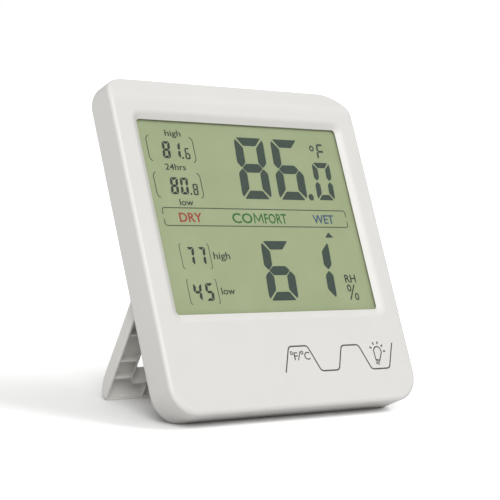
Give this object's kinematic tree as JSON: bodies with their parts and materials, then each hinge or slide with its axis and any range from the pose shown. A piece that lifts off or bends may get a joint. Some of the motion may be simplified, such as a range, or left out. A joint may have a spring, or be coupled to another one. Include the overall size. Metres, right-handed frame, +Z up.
{
  "type": "maximum minimum thermometer",
  "caption": "Desk thermometer and hygrometer with a large display, touch keys and a fold-out stand behind.",
  "frame": {"origin": "on the ground, at the middle of the footprint's bounding box, with the stand open", "axes": "+X to the right as seen from the front, +Y from front to back, +Z up"},
  "size_m": [0.1, 0.0618, 0.0979],
  "materials": {
    "casing": "fine moulded satin",
    "cover": "fine moulded satin",
    "stand": "fine moulded satin",
    "tape": "matt foam tape",
    "lens": "clear",
    "film": "smooth film",
    "display_glass": "clear",
    "clear_guide": "clear",
    "reflector": "white sheet",
    "lamp": "smooth",
    "holder": "moulded",
    "elastomer": "soft matt",
    "circuit_board": "solder mask",
    "screw": "plated",
    "resin": "cast resin",
    "metal_can": "plated",
    "chip": "ceramic",
    "sensor": "moulded",
    "switch": "moulded",
    "button": "moulded satin",
    "copper": "tinned copper",
    "wire": "insulation",
    "cell": "printed sleeve",
    "spring": "nickel plated",
    "plate": "nickel plated"
  },
  "bodies": {
    "casing": {"backlight_leds": "lamp", "battery_1": "cell", "battery_2": "cell", "battery_plates": "plate", "battery_springs": "spring", "board_screws": "screw", "case_screws": "screw", "controller_blob": "resin", "crystal": "metal_can", "display_window": "lens", "front_shell": "casing", "humidity_sensor": "sensor", "lcd_front_glass": "display_glass", "lcd_front_polarizer": "film", "lcd_holder": "holder", "lcd_rear_glass": "display_glass", "lcd_rear_polarizer": "film", "light_guide": "clear_guide", "main_board": "circuit_board", "rear_cover": "cover", "reflector_sheet": "reflector", "reset_switch": "switch", "selector_switch": "switch", "smd_parts": "chip", "touch_board": "circuit_board", "touch_pads": "copper", "touch_wires": "wire", "window_tape": "tape", "zebra_strips": "elastomer"},
    "stand": {"stand": "stand"},
    "battery_door": {"battery_door": "cover"},
    "reset_button": {"reset_button": "button"},
    "selector_knob": {"selector_knob": "button"}
  },
  "joints": [
    {"name": "stand_hinge", "type": "hinge", "parent": "casing", "child": "stand", "pos_m": [0, -0.00263, 0.03481], "axis": [-1, 0, 0], "range_deg": [0, 50]},
    {"name": "door_slide", "type": "slide", "parent": "casing", "child": "battery_door", "axis": [0, 0.484, 0.8751], "range_m": [0, 0.034]},
    {"name": "reset_press", "type": "slide", "parent": "casing", "child": "reset_button", "axis": [0, -0.8751, 0.484], "range_m": [0, 0.0006], "stiffness_N_per_m": 400, "springref_m": -0.0003},
    {"name": "selector_slide", "type": "slide", "parent": "casing", "child": "selector_knob", "axis": [1, 0, 0], "range_m": [0, 0.003]}
  ]
}
